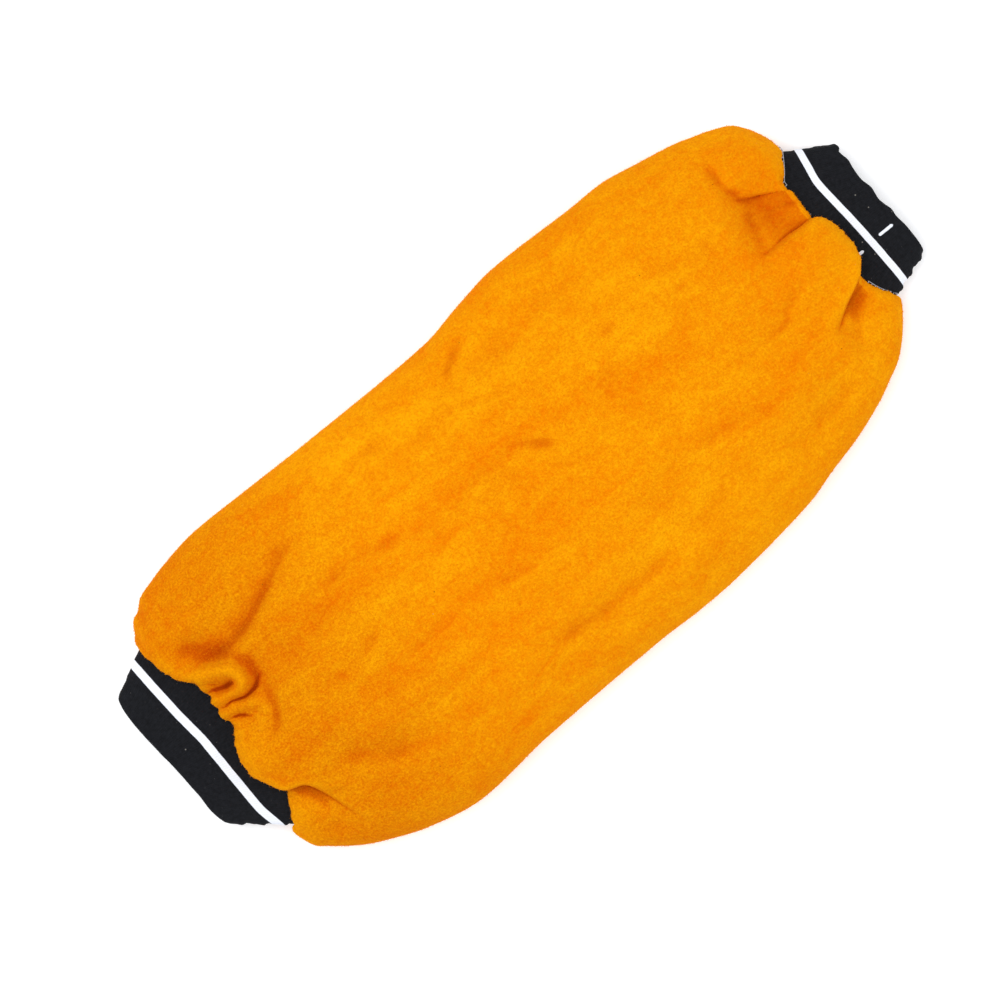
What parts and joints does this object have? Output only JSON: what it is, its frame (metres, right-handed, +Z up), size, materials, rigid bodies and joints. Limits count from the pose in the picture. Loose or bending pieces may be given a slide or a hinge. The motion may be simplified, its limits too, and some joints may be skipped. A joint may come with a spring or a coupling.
{
  "type": "welding sleeve",
  "caption": "Flame-resistant suede welder's sleeve: a wide leather tube gathered at each end into a black elastic cuff, open from end to end.",
  "frame": {"origin": "centre of the bounding box in plan, on the plane that the sleeve lies on", "axes": "+X along the sleeve from the upper-arm cuff to the wrist cuff, +Y across the flat sleeve, +Z up from the surface it lies on"},
  "size_m": [0.4564, 0.202, 0.0501],
  "materials": {
    "suede": "split-cowhide suede, golden orange, napped",
    "elastic": "ribbed knitted elastic, black with one white woven stripe"
  },
  "bodies": {
    "root": {"suede_tube": "suede", "upper_arm_cuff": "elastic", "wrist_cuff": "elastic"}
  },
  "joints": []
}
